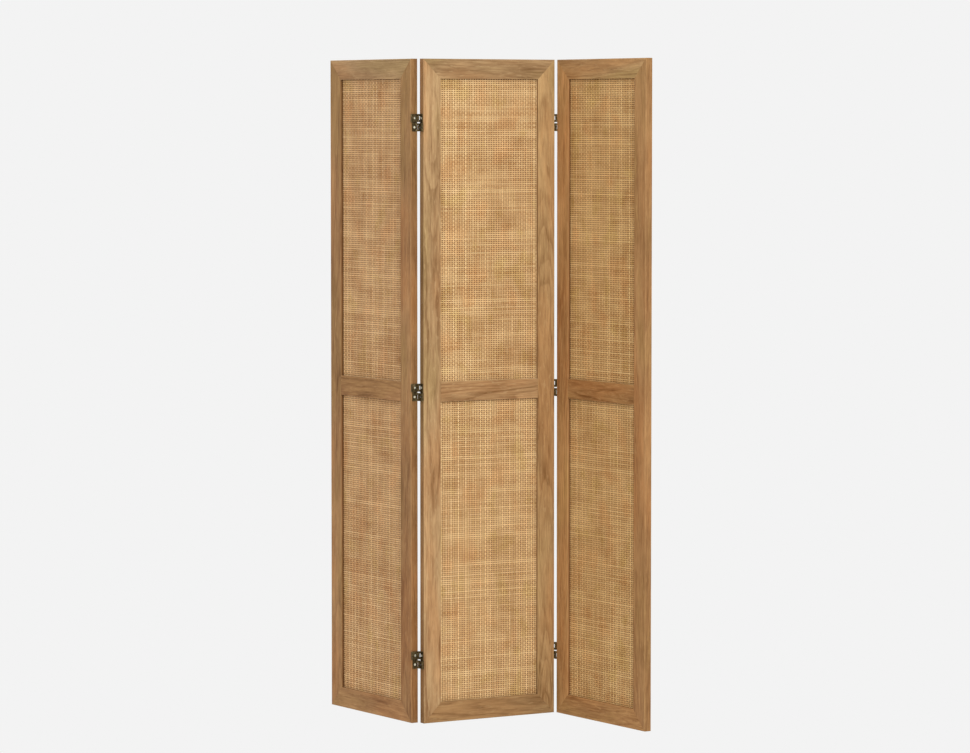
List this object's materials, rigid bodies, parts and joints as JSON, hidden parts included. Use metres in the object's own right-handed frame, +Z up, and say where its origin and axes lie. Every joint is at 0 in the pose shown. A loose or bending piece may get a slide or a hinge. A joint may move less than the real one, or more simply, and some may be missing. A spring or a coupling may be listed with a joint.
{
  "type": "folding room divider screen",
  "caption": "Folding room divider screen: wood-framed cane panels joined edge to edge by two-way crossed-link hinges, standing in a zigzag.",
  "frame": {"origin": "bottom centre of the middle panel, on the floor, with the screen standing in its zigzag", "axes": "+Z up, +X along the screen's run from the left panel to the right panel, -Y towards the front"},
  "size_m": [0.8732, 0.4968, 1.8],
  "materials": {
    "frame_wood": "matt oiled oak with visible grain",
    "backing_board": "plain brown board behind the cane",
    "cane": "natural woven rattan, satin",
    "dowel_wood": "plain beech",
    "hinge_bronze": "antique bronze plating on steel",
    "hinge_pin": "dark plated steel",
    "screw": "bright zinc-plated steel"
  },
  "bodies": {
    "panel_middle": {"middle_panel_left_stile": "frame_wood", "middle_panel_right_stile": "frame_wood", "middle_panel_top_rail": "frame_wood", "middle_panel_middle_rail": "frame_wood", "middle_panel_bottom_rail": "frame_wood", "middle_panel_upper_board": "backing_board", "middle_panel_lower_board": "backing_board", "middle_panel_front_upper_cane": "cane", "middle_panel_front_lower_cane": "cane", "middle_panel_back_upper_cane": "cane", "middle_panel_back_lower_cane": "cane", "middle_panel_dowels": "dowel_wood", "left_hinge_inner_leaves": "hinge_bronze", "left_hinge_inner_screws": "screw", "left_hinge_upper_inner_pins": "hinge_pin", "left_hinge_lower_inner_pins": "hinge_pin", "right_hinge_inner_leaves": "hinge_bronze", "right_hinge_inner_screws": "screw", "right_hinge_upper_inner_pins": "hinge_pin", "right_hinge_lower_inner_pins": "hinge_pin"},
    "panel_left": {"left_panel_left_stile": "frame_wood", "left_panel_right_stile": "frame_wood", "left_panel_top_rail": "frame_wood", "left_panel_middle_rail": "frame_wood", "left_panel_bottom_rail": "frame_wood", "left_panel_upper_board": "backing_board", "left_panel_lower_board": "backing_board", "left_panel_front_upper_cane": "cane", "left_panel_front_lower_cane": "cane", "left_panel_back_upper_cane": "cane", "left_panel_back_lower_cane": "cane", "left_panel_dowels": "dowel_wood", "left_hinge_outer_leaves": "hinge_bronze", "left_hinge_outer_screws": "screw", "left_hinge_upper_outer_pins": "hinge_pin", "left_hinge_lower_outer_pins": "hinge_pin"},
    "panel_right": {"right_panel_left_stile": "frame_wood", "right_panel_right_stile": "frame_wood", "right_panel_top_rail": "frame_wood", "right_panel_middle_rail": "frame_wood", "right_panel_bottom_rail": "frame_wood", "right_panel_upper_board": "backing_board", "right_panel_lower_board": "backing_board", "right_panel_front_upper_cane": "cane", "right_panel_front_lower_cane": "cane", "right_panel_back_upper_cane": "cane", "right_panel_back_lower_cane": "cane", "right_panel_dowels": "dowel_wood", "right_hinge_outer_leaves": "hinge_bronze", "right_hinge_outer_screws": "screw", "right_hinge_upper_outer_pins": "hinge_pin", "right_hinge_lower_outer_pins": "hinge_pin"},
    "left_upper_links": {"left_hinge_upper_links": "hinge_bronze"},
    "left_lower_links": {"left_hinge_lower_links": "hinge_bronze"},
    "right_upper_links": {"right_hinge_upper_links": "hinge_bronze"},
    "right_lower_links": {"right_hinge_lower_links": "hinge_bronze"}
  },
  "joints": [
    {"name": "left_fold", "type": "hinge", "parent": "panel_middle", "child": "left_upper_links", "pos_m": [-0.18721, -0.09399, 0.9], "axis": [0, 0, 1], "range_deg": [-94.5, 85.5]},
    {"name": "left_counter_fold", "type": "hinge", "parent": "left_upper_links", "child": "panel_left", "pos_m": [-0.20501, -0.10604, 0.9], "axis": [0, 0, 1], "range_deg": [0, 90]},
    {"name": "left_lower_links_swing", "type": "hinge", "parent": "panel_middle", "child": "left_lower_links", "pos_m": [-0.17659, -0.11268, 0.9], "axis": [0, 0, 1], "range_deg": [0, 90]},
    {"name": "right_fold", "type": "hinge", "parent": "panel_middle", "child": "right_upper_links", "pos_m": [0.18721, 0.09399, 0.9], "axis": [0, 0, 1], "range_deg": [-94.5, 85.5]},
    {"name": "right_counter_fold", "type": "hinge", "parent": "right_upper_links", "child": "panel_right", "pos_m": [0.20501, 0.10604, 0.9], "axis": [0, 0, 1], "range_deg": [0, 90]},
    {"name": "right_lower_links_swing", "type": "hinge", "parent": "panel_middle", "child": "right_lower_links", "pos_m": [0.17659, 0.11268, 0.9], "axis": [0, 0, 1], "range_deg": [0, 90]}
  ],
  "couplings": [
    {"joint": "left_lower_links_swing", "follows": "left_counter_fold", "ratio": 1},
    {"joint": "right_lower_links_swing", "follows": "right_counter_fold", "ratio": 1}
  ]
}
